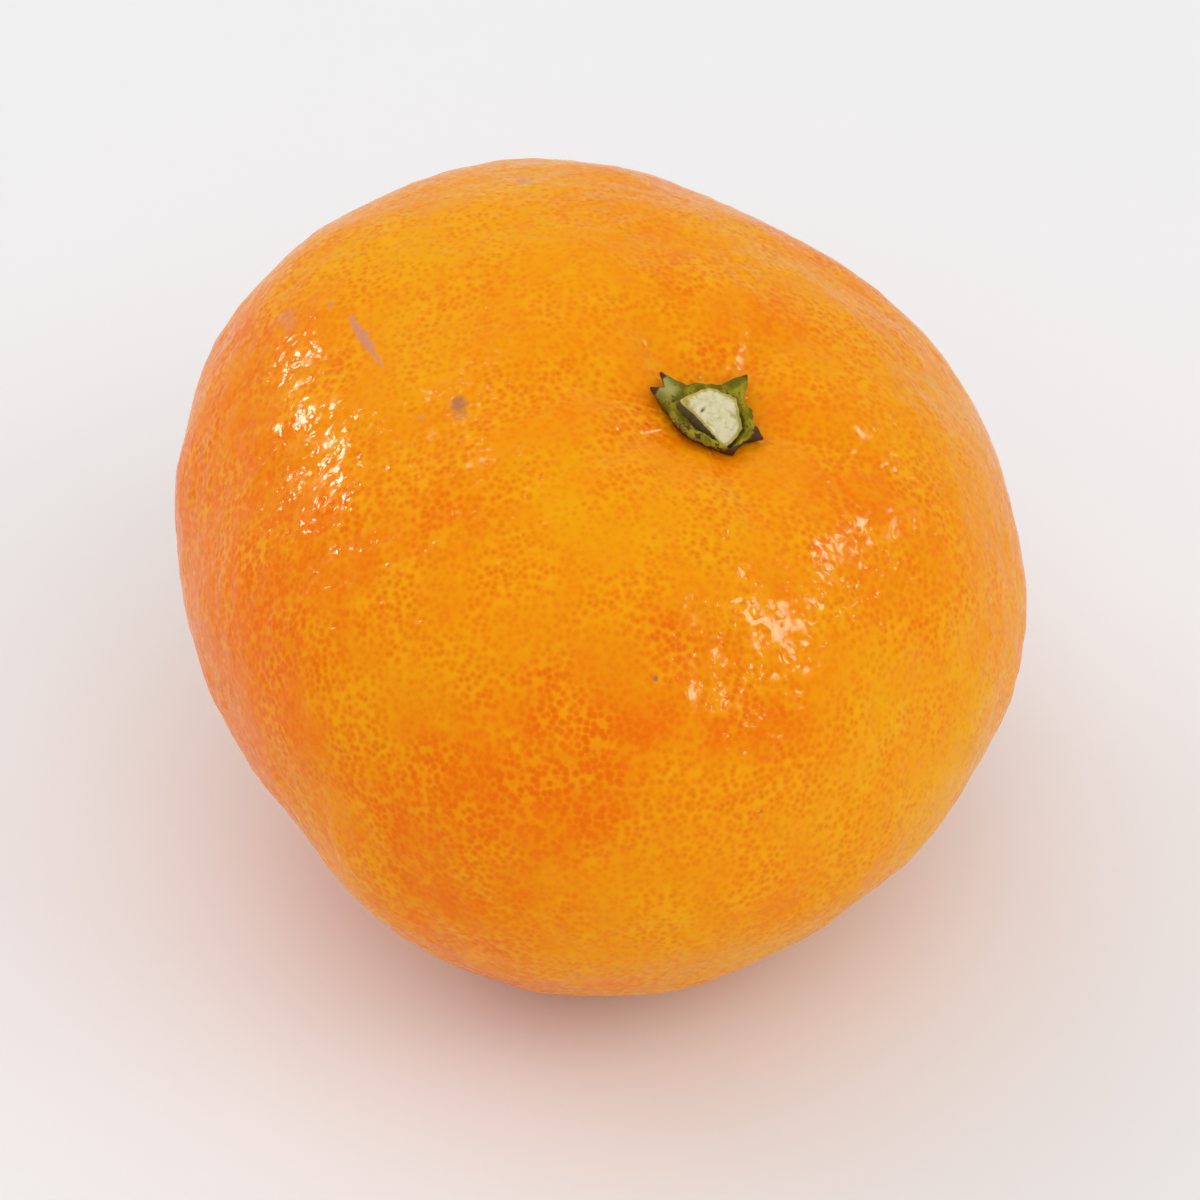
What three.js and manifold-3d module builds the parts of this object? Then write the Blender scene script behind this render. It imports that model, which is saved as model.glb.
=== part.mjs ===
// Mandarin of the satsuma kind, as picked: the whole fruit, its green calyx
// and the short cut end of its stalk.
// Millimetres, +Z up. The fruit lies tilted, and rests on a small flat spot
// whose centre is the origin. The stem end leans towards -Y and +X.

import * as THREE from 'three';
import { mergeVertices } from 'three/addons/utils/BufferGeometryUtils.js';
import Module from 'manifold-3d';

const DEG = Math.PI / 180;

// How the fruit lies.
const TILT = 27.7 * DEG; // of the stem axis, away from upright
const LEAN_TOWARDS = -40.2 * DEG; // azimuth that the stem end leans to
const BODY_UP = 25.4; // the fruit's middle, above the surface it rests on
const SEAT_X = 0.8; // centre of the flat spot, seen from under the middle
const SEAT_Y = -0.3;

// The body of the fruit, in its own frame: +Z runs along the stem axis, and a
// place on the skin is a polar angle from the stem and an azimuth about it.
const EQUATOR_R = 33.9;
const HALF_HEIGHT = 28.2;
const FULLNESS = 2.06; // exponent of the flattened round: 2 is an ellipse
const SHOULDER = 2.35; // extra fullness towards the stem end
const LOPSIDE = { size: 3.2, at: -5 * DEG }; // one side stands higher
const OVAL = { size: 1.4, at: -45.6 * DEG }; // the equator is a little oval
const CORNERS = { size: 1.03, at: 57 * DEG }; // and a little three-cornered

// Sides that are pressed flatter, as fruit in a crate is.
const FLAT_SPREAD = 0.3;
const FLATS = [
  { polar: 126 * DEG, at: -87.5 * DEG, depth: 2.8 },
  { polar: 49 * DEG, at: 85 * DEG, depth: 0.8 },
];

// Low unevenness of the whole skin.
const LUMP_WAVES = 8;
const GOLDEN_ANGLE = 2.399963;
const LUMPS = [
  { height: 0.25, pitch: 9, shift: 2.4 },
  { height: 0.12, pitch: 17, shift: 4.1 },
];

// The hollow at the stem end, and the dimple with its scar opposite.
const STEM_HOLLOW = { depth: 2.2, reach: 0.3 };
const BLOSSOM_DIMPLE = { depth: 1.0, reach: 0.3 };
const BLOSSOM_SCAR = { height: 0.5, reach: 0.05 };

// Furrows that run out of the stem hollow, each with the polar angle of its
// deepest point.
const FURROW_RUN = 0.15;
const FURROW_START = 0.1; // they fade out this close to the stem
const FURROWS = [
  { at: 97 * DEG, depth: 0.8, width: 11 * DEG, polar: 0.28 },
  { at: 164 * DEG, depth: 0.55, width: 12 * DEG, polar: 0.28 },
  { at: 32 * DEG, depth: 0.8, width: 15 * DEG, polar: 0.34 },
  { at: -30 * DEG, depth: 0.5, width: 12 * DEG, polar: 0.3 },
  { at: -74 * DEG, depth: 0.35, width: 9 * DEG, polar: 0.28 },
  { at: -103 * DEG, depth: 0.4, width: 9 * DEG, polar: 0.34 },
  { at: -147 * DEG, depth: 0.6, width: 13 * DEG, polar: 0.3 },
];

// The calyx: a disc with five sepals, pressed on the floor of the hollow. Its
// middle sits a little beside the stem axis, and the stalk stands on it.
const CLEARANCE = 0.3; // between pieces that touch
const STEM_X = 0.55;
const STEM_Y = -0.15;
const CALYX_R = 3.35; // of the disc between the sepals
const CALYX_WORN = { size: 0.55, at: -85 * DEG, width: 50 * DEG }; // its short side
const CALYX_THICK = 0.7;
const SEPAL_THICK = 0.6;
const SEPAL_HALF_WIDTH = 22 * DEG;
const SEPAL_TAPER = 1.6;
const SEPALS = [
  { at: 99 * DEG, reach: 5.3, lift: 0.7 },
  { at: 180 * DEG, reach: 5.15, lift: 0.3 },
  { at: 198 * DEG, reach: 4.95, lift: 0.2 },
  { at: 21 * DEG, reach: 4.3, lift: 0.1 },
  { at: -21 * DEG, reach: 3.8, lift: 0 },
];

// The stalk, cut off just above the calyx. It has five uneven sides.
const STALK_HEIGHT = 0.6;
const STALK_SIDES = [
  { at: -87.6 * DEG, away: 1.43 },
  { at: 7.4 * DEG, away: 2.6 },
  { at: 55.5 * DEG, away: 2.35 },
  { at: 126 * DEG, away: 2.2 },
  { at: 169 * DEG, away: 2.05 },
];
const STALK_SHARPNESS = 14; // of the corners between the sides
const CUT_DOME = 0.12;
const CUT_SLANT = 0.1; // rise of the cut face across its radius
const CUT_RISES_TO = -160 * DEG;
const CUT_RINGS = [0.55, 0.92]; // shares of its radius that shape the dome

// How finely each piece is faceted.
const SKIN_ROWS = 44;
const SKIN_COLUMNS = 84;
const ROW_CROWDING = 0.06; // rows stand closer near both ends
const CALYX_COLUMNS = 120;
const CALYX_RINGS = 3;
const STALK_COLUMNS = 60;
const HEIGHT_STEPS = 6; // to find the skin at a distance from the axis

const wasm = await Module();
wasm.setup();

function bell(distance, reach) {
  return Math.exp(-((distance / reach) ** 2));
}

function turnBetween(a, b) {
  return Math.atan2(Math.sin(a - b), Math.cos(a - b));
}

function direction(polar, azimuth) {
  const s = Math.sin(polar);
  return new THREE.Vector3(s * Math.cos(azimuth), s * Math.sin(azimuth), Math.cos(polar));
}

// Waves laid across the fruit in directions spread evenly over a sphere.
function lumps(u, { height, pitch, shift }) {
  let sum = 0;
  for (let k = 1; k <= LUMP_WAVES; k++) {
    const z = 1 - (2 * (k - 0.5)) / LUMP_WAVES;
    const across = Math.sqrt(1 - z * z);
    const turn = GOLDEN_ANGLE * k;
    const along = u.x * across * Math.cos(turn) + u.y * across * Math.sin(turn) + u.z * z;
    sum += Math.sin(pitch * along + shift * k);
  }
  return (height * sum) / Math.sqrt(LUMP_WAVES);
}

function furrowDepth(polar, azimuth) {
  let depth = 0;
  for (const furrow of FURROWS) {
    depth += furrow.depth
      * bell(turnBetween(azimuth, furrow.at), furrow.width)
      * bell(polar - furrow.polar, FURROW_RUN);
  }
  return depth * Math.tanh((polar / FURROW_START) ** 2);
}

// Distance from the fruit's middle to its skin.
function skinRadius(polar, azimuth) {
  const s = Math.sin(polar);
  const c = Math.cos(polar);
  const u = direction(polar, azimuth);
  let r = ((s / EQUATOR_R) ** FULLNESS + (Math.abs(c) / HALF_HEIGHT) ** FULLNESS) ** (-1 / FULLNESS);
  r += SHOULDER * c * s * s;
  r += 2 * s * c * LOPSIDE.size * Math.cos(azimuth - LOPSIDE.at);
  r += s ** 2 * OVAL.size * Math.cos(2 * (azimuth - OVAL.at));
  r += s ** 3 * CORNERS.size * Math.cos(3 * (azimuth - CORNERS.at));
  for (const flat of FLATS) {
    r -= flat.depth * Math.exp((-2 * (1 - u.dot(direction(flat.polar, flat.at)))) / FLAT_SPREAD);
  }
  for (const wave of LUMPS) {
    r += lumps(u, wave);
  }
  r -= STEM_HOLLOW.depth * bell(polar, STEM_HOLLOW.reach);
  r -= BLOSSOM_DIMPLE.depth * bell(Math.PI - polar, BLOSSOM_DIMPLE.reach);
  r += BLOSSOM_SCAR.height * bell(Math.PI - polar, BLOSSOM_SCAR.reach);
  return r - furrowDepth(polar, azimuth);
}

// Height of the skin above the fruit's middle, at a distance from the stem axis.
function skinHeight(distance, azimuth) {
  let polar = distance / HALF_HEIGHT;
  for (let step = 0; step < HEIGHT_STEPS; step++) {
    polar = Math.asin(Math.min(1, distance / skinRadius(polar, azimuth)));
  }
  return skinRadius(polar, azimuth) * Math.cos(polar);
}

// Height of the skin under a place seen from the middle of the calyx.
function seatHeight(distance, azimuth) {
  const x = STEM_X + distance * Math.cos(azimuth);
  const y = STEM_Y + distance * Math.sin(azimuth);
  return skinHeight(Math.hypot(x, y), Math.atan2(y, x));
}

// A closed surface from rings of points between a first and a last point.
function closedByRings(first, rings, last) {
  const columns = rings[0].length;
  const points = [first, ...rings.flat(), last];
  const end = points.length - 1;
  const faces = [];
  for (let j = 0; j < columns; j++) {
    const next = (j + 1) % columns;
    faces.push(0, 1 + j, 1 + next);
    for (let i = 0; i < rings.length - 1; i++) {
      const a = 1 + i * columns + j;
      const b = 1 + i * columns + next;
      faces.push(a, a + columns, b + columns, a, b + columns, b);
    }
    const lastRing = 1 + (rings.length - 1) * columns;
    faces.push(lastRing + j, end, lastRing + next);
  }
  const geometry = new THREE.BufferGeometry().setFromPoints(points);
  geometry.setIndex(faces);
  return geometry;
}

function ringOf(columns, pointAt) {
  return Array.from({ length: columns }, (_, j) => pointAt((2 * Math.PI * j) / columns));
}

function solidOf(geometry) {
  const bare = geometry.clone();
  bare.deleteAttribute('normal');
  bare.deleteAttribute('uv');
  const welded = mergeVertices(bare);
  return new wasm.Manifold(new wasm.Mesh({
    numProp: 3,
    vertProperties: new Float32Array(welded.attributes.position.array),
    triVerts: new Uint32Array(welded.index.array),
  }));
}

function geometryOf(solid) {
  const { vertProperties, triVerts } = solid.getMesh();
  const geometry = new THREE.BufferGeometry();
  geometry.setAttribute('position', new THREE.BufferAttribute(new Float32Array(vertProperties), 3));
  geometry.setIndex(new THREE.BufferAttribute(new Uint32Array(triVerts), 1));
  return geometry;
}

function meshOf(name, geometry, look) {
  const faceted = geometry.index ? geometry.toNonIndexed() : geometry;
  faceted.computeVertexNormals();
  const mesh = new THREE.Mesh(faceted, new THREE.MeshStandardMaterial(look));
  mesh.name = name;
  return mesh;
}

// From the fruit's own frame to the frame in which it lies.
const lie = new THREE.Matrix4()
  .makeTranslation(-SEAT_X, -SEAT_Y, BODY_UP)
  .multiply(new THREE.Matrix4().makeRotationZ(LEAN_TOWARDS))
  .multiply(new THREE.Matrix4().makeRotationY(TILT));

// The whole fruit, one grown piece, cut flat where its weight rests.
function fruit() {
  const at = (polar, azimuth) => direction(polar, azimuth).multiplyScalar(skinRadius(polar, azimuth));
  const rings = [];
  for (let i = 1; i < SKIN_ROWS; i++) {
    const share = i / SKIN_ROWS;
    const polar = Math.PI * (share - ROW_CROWDING * Math.sin(2 * Math.PI * share));
    rings.push(ringOf(SKIN_COLUMNS, (azimuth) => at(polar, azimuth)));
  }
  const round = closedByRings(at(0, 0), rings, at(Math.PI, 0)).applyMatrix4(lie);
  const size = 4 * EQUATOR_R;
  const below = new THREE.BoxGeometry(size, size, size).translate(0, 0, -size / 2);
  const rested = solidOf(round).subtract(solidOf(below));
  return meshOf('fruit', geometryOf(rested), { color: 0xef9412, roughness: 0.4, metalness: 0 });
}

const CALYX_TOP = seatHeight(0, 0) + CLEARANCE + CALYX_THICK;

// The outline of the stalk: the nearest of its sides, with the corners rounded.
function stalkOutline(azimuth) {
  let sum = 0;
  for (const side of STALK_SIDES) {
    sum += (Math.max(0, Math.cos(azimuth - side.at)) / side.away) ** STALK_SHARPNESS;
  }
  return sum ** (-1 / STALK_SHARPNESS);
}

// The outline of the level seat for it on the calyx.
function seatOutline(azimuth) {
  return stalkOutline(azimuth) + CLEARANCE;
}

// How far one sepal draws out the calyx's edge, from 0 beside it to 1 at its tip.
function sepalShare(azimuth, sepal) {
  const off = Math.abs(turnBetween(azimuth, sepal.at)) / SEPAL_HALF_WIDTH;
  return Math.max(0, 1 - off) ** SEPAL_TAPER;
}

function calyxEdge(azimuth) {
  const disc = CALYX_R - CALYX_WORN.size * bell(turnBetween(azimuth, CALYX_WORN.at), CALYX_WORN.width);
  let edge = { reach: disc, lift: 0, share: 0 };
  for (const sepal of SEPALS) {
    const share = sepalShare(azimuth, sepal);
    const reach = THREE.MathUtils.lerp(disc, sepal.reach, share);
    if (reach > edge.reach) {
      edge = { reach, lift: sepal.lift * share, share };
    }
  }
  return edge;
}

// The disc and its sepals: the underside keeps clear of the skin, and the tips turn up.
// A ring at out = 0 runs round the seat of the stalk, and one at out = 1 round the edge.
function calyx() {
  const along = (out, azimuth) => {
    const edge = calyxEdge(azimuth);
    const distance = THREE.MathUtils.lerp(seatOutline(azimuth), edge.reach, out);
    const height = seatHeight(distance, azimuth) + CLEARANCE + edge.lift * out ** 2;
    return { distance, height, thick: THREE.MathUtils.lerp(CALYX_THICK, SEPAL_THICK, edge.share) };
  };
  const place = (distance, azimuth, height) => new THREE.Vector3(
    distance * Math.cos(azimuth),
    distance * Math.sin(azimuth),
    height,
  );
  const upper = (out) => ringOf(CALYX_COLUMNS, (azimuth) => {
    const { distance, height, thick } = along(out, azimuth);
    return place(distance, azimuth, height + thick);
  });
  const lower = (out) => ringOf(CALYX_COLUMNS, (azimuth) => {
    const { distance, height } = along(out, azimuth);
    return place(distance, azimuth, height);
  });
  const seat = ringOf(CALYX_COLUMNS, (azimuth) => place(seatOutline(azimuth), azimuth, CALYX_TOP));
  const outs = Array.from({ length: CALYX_RINGS }, (_, i) => (i + 1) / CALYX_RINGS);
  const rings = [seat, ...outs.map(upper), ...outs.reverse().map(lower), lower(0)];
  const top = place(0, 0, CALYX_TOP);
  const bottom = place(0, 0, seatHeight(0, 0) + CLEARANCE);
  return meshOf('calyx', closedByRings(top, rings, bottom), { color: 0x6d7a2b, roughness: 0.7, metalness: 0 });
}

// The cut stalk: five sides with round corners, a slightly domed and slanted cut.
function stalk() {
  const foot = CALYX_TOP + CLEARANCE;
  const cut = (share, azimuth) => foot + STALK_HEIGHT + CUT_DOME * (1 - share ** 2)
    + CUT_SLANT * share * Math.cos(azimuth - CUT_RISES_TO);
  const ring = (share, heightAt) => ringOf(STALK_COLUMNS, (azimuth) => new THREE.Vector3(
    share * stalkOutline(azimuth) * Math.cos(azimuth),
    share * stalkOutline(azimuth) * Math.sin(azimuth),
    heightAt(share, azimuth),
  ));
  const rings = [
    ...CUT_RINGS.map((share) => ring(share, cut)),
    ring(1, (share, azimuth) => cut(share, azimuth) - CUT_DOME),
    ring(1, () => foot),
  ];
  const middle = new THREE.Vector3(0, 0, cut(0, 0));
  const under = new THREE.Vector3(0, 0, foot);
  return meshOf('stem_stub', closedByRings(middle, rings, under), { color: 0xc9c792, roughness: 0.8, metalness: 0 });
}

const stemEnd = new THREE.Group();
stemEnd.applyMatrix4(new THREE.Matrix4().makeTranslation(STEM_X, STEM_Y, 0).premultiply(lie));
stemEnd.add(calyx(), stalk());

const mandarin = new THREE.Group();
mandarin.name = 'mandarin';
mandarin.add(fruit(), stemEnd);

export default mandarin;
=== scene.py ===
# %% [markdown]
# # A mandarin, built from formulas
#
# A whole mandarin of the satsuma kind lies a little tilted on a pale table.
# The solids that this lesson starts from are right in shape and size, but
# faceted and bare. Each of them gets a finer skin here, worked out from the
# same formulas with more points, and a finish made of nodes.

# %% Load the solid model
import math

import bpy
import numpy as np
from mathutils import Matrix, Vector


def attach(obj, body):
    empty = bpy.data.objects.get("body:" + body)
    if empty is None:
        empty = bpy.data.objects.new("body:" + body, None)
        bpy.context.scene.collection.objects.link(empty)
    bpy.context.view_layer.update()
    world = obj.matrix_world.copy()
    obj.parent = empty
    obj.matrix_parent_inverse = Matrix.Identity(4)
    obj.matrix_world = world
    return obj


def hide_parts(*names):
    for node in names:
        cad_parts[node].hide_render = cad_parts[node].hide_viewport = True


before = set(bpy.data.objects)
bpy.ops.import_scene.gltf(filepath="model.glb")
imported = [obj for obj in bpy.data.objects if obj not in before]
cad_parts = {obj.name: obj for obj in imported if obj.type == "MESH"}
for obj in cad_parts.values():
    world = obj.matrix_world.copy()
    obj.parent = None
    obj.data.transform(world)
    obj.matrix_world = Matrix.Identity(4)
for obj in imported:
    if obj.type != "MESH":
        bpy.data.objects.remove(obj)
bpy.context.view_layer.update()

# %% [markdown]
# ## How the fruit lies
#
# The fruit is easiest to describe in a frame of its own, with the stem on
# the +Z axis. A place on the skin is then a polar angle from the stem and an
# azimuth about it, like latitude and longitude on a globe. One turn and one
# shift bring that frame to the table. All shapes are worked out in
# millimetres and turned into metres at the very end.

# %% The frame of the fruit
DEG = math.pi / 180
MM = 0.001
TILT = 27.7 * DEG
LEAN_TOWARDS = -40.2 * DEG
BODY_UP = 25.4
SEAT_X = 0.8
SEAT_Y = -0.3


def turn_about_z(angle):
    """The matrix that turns a point by angle about Z."""
    c, s = math.cos(angle), math.sin(angle)
    return np.array([[c, -s, 0], [s, c, 0], [0, 0, 1]])


def turn_about_y(angle):
    """The matrix that turns a point by angle about Y, from Z towards X."""
    c, s = math.cos(angle), math.sin(angle)
    return np.array([[c, 0, s], [0, 1, 0], [-s, 0, c]])


LIE = turn_about_z(LEAN_TOWARDS) @ turn_about_y(TILT)
MIDDLE = np.array([-SEAT_X, -SEAT_Y, BODY_UP])


def lie(points):
    """Points of the fruit's own frame, in mm, turned and moved to where it lies."""
    return points @ LIE.T + MIDDLE


print("stem axis points to", np.round(LIE[:, 2], 2))

# %% [markdown]
# ## The shape of the body
#
# A mandarin is a flattened ball, but never a perfect one. It could be
# sculpted by hand, but then nobody could say why it looks as it does. Here a
# few plain terms add up to a distance from the middle: a rounded flat ball,
# fuller shoulders, one side higher, a slightly oval and three-cornered
# waist, two sides pressed flatter, low lumps, the stem hollow with its
# furrows, and the dimple with a scar at the other end.

# %% Sizes of the body
# Lengths are in mm. LOPSIDE, OVAL and CORNERS are a length and an azimuth.
EQUATOR_R = 33.9
HALF_HEIGHT = 28.2
FULLNESS = 2.06
SHOULDER = 2.35
LOPSIDE = (3.2, -5 * DEG)
OVAL = (1.4, -45.6 * DEG)
CORNERS = (1.03, 57 * DEG)
FLAT_SPREAD = 0.3
# Polar angle, azimuth and depth of each flat side.
FLATS = [(126 * DEG, -87.5 * DEG, 2.8), (49 * DEG, 85 * DEG, 0.8)]
LUMP_WAVES = 8
GOLDEN_ANGLE = 2.399963
# Height, pitch and shift of each size of lump.
LUMPS = [(0.25, 9, 2.4), (0.12, 17, 4.1)]
HOLLOW_DEPTH, HOLLOW_REACH = 2.2, 0.3
DIMPLE_DEPTH, DIMPLE_REACH = 1.0, 0.3
SCAR_HEIGHT, SCAR_REACH = 0.5, 0.05
FURROW_RUN = 0.15
FURROW_START = 0.1
HEIGHT_STEPS = 6
# Azimuth, depth and half width, and polar angle of the deepest point.
FURROWS = [
    (97 * DEG, 0.8, 11 * DEG, 0.28),
    (164 * DEG, 0.55, 12 * DEG, 0.28),
    (32 * DEG, 0.8, 15 * DEG, 0.34),
    (-30 * DEG, 0.5, 12 * DEG, 0.30),
    (-74 * DEG, 0.35, 9 * DEG, 0.28),
    (-103 * DEG, 0.4, 9 * DEG, 0.34),
    (-147 * DEG, 0.6, 13 * DEG, 0.30),
]
print("plain round, mm:", 2 * EQUATOR_R, "across and", 2 * HALF_HEIGHT, "high, with", len(FURROWS), "furrows")


# %% The distance from the middle to the skin
def bell(distance, reach):
    """A smooth hump: e to the power of minus (distance / reach) squared."""
    return np.exp(-((distance / reach) ** 2))


def turn_between(a, b):
    """The signed angle from b to a, between minus and plus half a turn."""
    return np.arctan2(np.sin(a - b), np.cos(a - b))


def direction(polar, azimuth):
    """Unit vectors: sine of polar times cosine and sine of azimuth, and cosine of polar."""
    s = np.sin(polar)
    return np.stack([s * np.cos(azimuth), s * np.sin(azimuth), np.cos(polar) + 0 * azimuth], axis=-1)


def lumps(u, height, pitch, shift):
    """Sines of pitch times the reach of u along evenly spread directions, added up."""
    total = 0
    for k in range(1, LUMP_WAVES + 1):
        z = 1 - 2 * (k - 0.5) / LUMP_WAVES
        across = math.sqrt(1 - z * z)
        turn = GOLDEN_ANGLE * k
        way = np.array([across * math.cos(turn), across * math.sin(turn), z])
        total = total + np.sin(pitch * (u @ way) + shift * k)
    return height * total / math.sqrt(LUMP_WAVES)


def furrow_depth(polar, azimuth):
    """A bell across each furrow times a bell along it, fading out at the stem."""
    depth = 0
    for at, deep, half_width, far in FURROWS:
        depth = depth + deep * bell(turn_between(azimuth, at), half_width) * bell(polar - far, FURROW_RUN)
    return depth * np.tanh((polar / FURROW_START) ** 2)


def skin_radius(polar, azimuth):
    """A superellipse of the polar angle, plus the terms named above."""
    s, c = np.sin(polar), np.cos(polar)
    u = direction(polar, azimuth)
    r = ((s / EQUATOR_R) ** FULLNESS + (np.abs(c) / HALF_HEIGHT) ** FULLNESS) ** (-1 / FULLNESS)
    r = r + SHOULDER * c * s * s
    r = r + 2 * s * c * LOPSIDE[0] * np.cos(azimuth - LOPSIDE[1])
    r = r + s**2 * OVAL[0] * np.cos(2 * (azimuth - OVAL[1]))
    r = r + s**3 * CORNERS[0] * np.cos(3 * (azimuth - CORNERS[1]))
    for flat_polar, flat_at, depth in FLATS:
        towards = direction(np.array(flat_polar), np.array(flat_at))
        r = r - depth * np.exp(-2 * (1 - u @ towards) / FLAT_SPREAD)
    for height, pitch, shift in LUMPS:
        r = r + lumps(u, height, pitch, shift)
    r = r - HOLLOW_DEPTH * bell(polar, HOLLOW_REACH)
    r = r - DIMPLE_DEPTH * bell(math.pi - polar, DIMPLE_REACH)
    r = r + SCAR_HEIGHT * bell(math.pi - polar, SCAR_REACH)
    return r - furrow_depth(polar, azimuth)


def skin_height(distance, azimuth):
    """Height of the skin over the middle at a distance from the stem axis, found in a few steps."""
    polar = distance / HALF_HEIGHT
    for _ in range(HEIGHT_STEPS):
        polar = np.arcsin(np.minimum(1, distance / skin_radius(polar, azimuth)))
    return skin_radius(polar, azimuth) * np.cos(polar)


print("skin at the stem, mm from the middle:", round(float(skin_radius(np.array(0.0), np.array(0.0))), 2))

# %% [markdown]
# ## Fine relief
#
# Rind is not smooth between its lumps. It is pebbled, because each oil gland
# lifts or dents it a little, and it puckers into fine folds round the stem.
# That could all be painted as bump, but a real relief also shows in the
# outline and in the printed mesh. Random sine waves of about one length add
# up to a pebbled field, and their seed makes it the same on every run.

# %% Relief that the mesh can carry
# Height, length of wave and seed: dents, pebbles and grain.
RIND_WRINKLES = [(0.07, 9.0, 11), (0.024, 3.0, 12), (0.011, 1.7, 13)]
WAVES_IN_A_FIELD = 40
CALM_AT_STEM = 0.12
PUCKER_HEIGHT = 0.03
PUCKER_FAR, PUCKER_REACH = 0.40, 0.24
PUCKER_COUNTS = range(17, 47, 3)
PUCKER_DRIFT = 5
PUCKER_LEAST = 0.35
PUCKER_MOST = (-95 * DEG, 60 * DEG)
PUCKER_SEED = 5


def wave_field(points, wavelength, seed, spread=0.3):
    """Sines along random directions, each of nearly the given wavelength, scaled to an rms of one."""
    rng = np.random.default_rng(seed)
    ways = rng.normal(size=(WAVES_IN_A_FIELD, 3))
    ways /= np.linalg.norm(ways, axis=1, keepdims=True)
    lengths = wavelength * rng.uniform(1 - spread, 1 + spread, WAVES_IN_A_FIELD)
    phases = rng.uniform(0, 2 * math.pi, WAVES_IN_A_FIELD)
    angles = points @ (2 * math.pi * ways / lengths[:, None]).T + phases
    return math.sqrt(2 / WAVES_IN_A_FIELD) * np.sin(angles).sum(axis=-1)


def wrinkles(points, sizes):
    """Wave fields added up, each of a height, a length of wave and a seed."""
    return sum(height * wave_field(points, length, seed) for height, length, seed in sizes)


def puckers(polar, azimuth):
    """Folds that run away from the stem: sines of the azimuth whose phase drifts with the polar angle."""
    rng = np.random.default_rng(PUCKER_SEED)
    folds = 0
    for count in PUCKER_COUNTS:
        start, drift = rng.uniform(0, 2 * math.pi), rng.uniform(-PUCKER_DRIFT, PUCKER_DRIFT)
        folds = folds + np.sin(count * azimuth + start + drift * polar)
    near = bell(polar - PUCKER_FAR, PUCKER_REACH)
    deepest = bell(turn_between(azimuth, PUCKER_MOST[0]), PUCKER_MOST[1])
    share = PUCKER_LEAST + (1 - PUCKER_LEAST) * deepest
    return PUCKER_HEIGHT * near * share * folds / math.sqrt(len(PUCKER_COUNTS))


def rind_relief(polar, azimuth):
    """Wrinkles over the base shape, calm right at the stem, plus the puckers."""
    base = direction(polar, azimuth) * skin_radius(polar, azimuth)[..., None]
    calm = np.tanh((polar / CALM_AT_STEM) ** 2)
    return wrinkles(base, RIND_WRINKLES) * calm + puckers(polar, azimuth)


print("relief in", len(RIND_WRINKLES), "sizes, and puckers of", PUCKER_HEIGHT, "mm")

# %% [markdown]
# ## From a grid of points to a mesh
#
# Every piece here is a closed surface that runs from one end point, through
# rings of points, to another end point. One helper joins such rings with
# quads and closes both ends with triangles, so that no seam or pole is open.

# %% Mesh helpers
def closed_by_rings(first, rings, last):
    """Points and faces of a surface through rings, an array of rings by columns by 3."""
    count, columns = rings.shape[:2]
    points = np.concatenate([first[None], rings.reshape(-1, 3), last[None]])
    index = 1 + np.arange(count * columns).reshape(count, columns)
    after = np.roll(index, -1, axis=1)
    end = len(points) - 1
    quads = np.stack([index[:-1], index[1:], after[1:], after[:-1]], axis=-1).reshape(-1, 4)
    cap = np.stack([np.zeros(columns, int), index[0], after[0]], axis=-1)
    base = np.stack([index[-1], np.full(columns, end), after[-1]], axis=-1)
    return points, quads.tolist() + cap.tolist() + base.tolist()


def piece_from(name, points_mm, faces):
    """A smooth-shaded mesh object whose place is in its mesh."""
    mesh = bpy.data.meshes.new(name)
    mesh.from_pydata((points_mm * MM).tolist(), [], faces)
    mesh.polygons.foreach_set("use_smooth", np.ones(len(mesh.polygons), bool))
    piece = bpy.data.objects.new(name, mesh)
    bpy.context.scene.collection.objects.link(piece)
    triangles = sum(len(face) - 2 for face in faces)
    print(name, "triangles:", triangles, "size mm:", np.round(np.ptp(points_mm, axis=0), 2))
    return piece


def add_attribute(piece, name, values):
    """A number, or a vector, for each point of the mesh, for the material to read."""
    kind = "FLOAT" if values.ndim == 1 else "FLOAT_VECTOR"
    attribute = piece.data.attributes.new(name, kind, "POINT")
    attribute.data.foreach_set("value" if values.ndim == 1 else "vector", values.astype(np.float32).ravel())


print("mesh helpers are ready")

# %% [markdown]
# ## The rind
#
# The same formula as the solid's, on a grid about five times finer, plus the
# fine relief. A ray that would leave through the table is stopped at the
# table, which gives the small flat spot that the fruit rests on. The rind
# also notes, for each point, which way it lies from the stem, how puckered
# it is, how yellow it has ripened, and where painted shade deepens its orange
# round the stem and low on the left. The material reads these notes.

# %% Build the rind
RIND_ROWS = 226
RIND_COLUMNS = 438
ROW_CROWDING = 0.06
SOFT_EDGE = 0.08
NEAREST_POLE = 1e-4
NO_RAY_DOWN = 1e-6


def soft_minimum(a, b, blend):
    """The smaller of two values, with the corner between them rounded over blend."""
    return 0.5 * (a + b - np.sqrt((a - b) ** 2 + blend**2))


def rind_points(polar, azimuth):
    """The skin radius plus relief along each direction, stopped at the table."""
    u = direction(polar, azimuth)
    r = skin_radius(polar, azimuth) + rind_relief(polar, azimuth)
    down = np.maximum(-(u @ LIE[2]), NO_RAY_DOWN)
    r = soft_minimum(r, BODY_UP / down, SOFT_EDGE)
    points = lie(u * r[..., None])
    points[..., 2] = np.maximum(points[..., 2], 0)
    return points


share = np.arange(1, RIND_ROWS) / RIND_ROWS
row_polar = math.pi * (share - ROW_CROWDING * np.sin(2 * math.pi * share))
column_azimuth = 2 * math.pi * np.arange(RIND_COLUMNS) / RIND_COLUMNS
polar, azimuth = np.meshgrid(row_polar, column_azimuth, indexing="ij")
ends = rind_points(np.array([NEAREST_POLE, math.pi - NEAREST_POLE]), np.zeros(2))
rind_mesh = closed_by_rings(ends[0], rind_points(polar, azimuth), ends[1])
rind = piece_from("rind", *rind_mesh)
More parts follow.
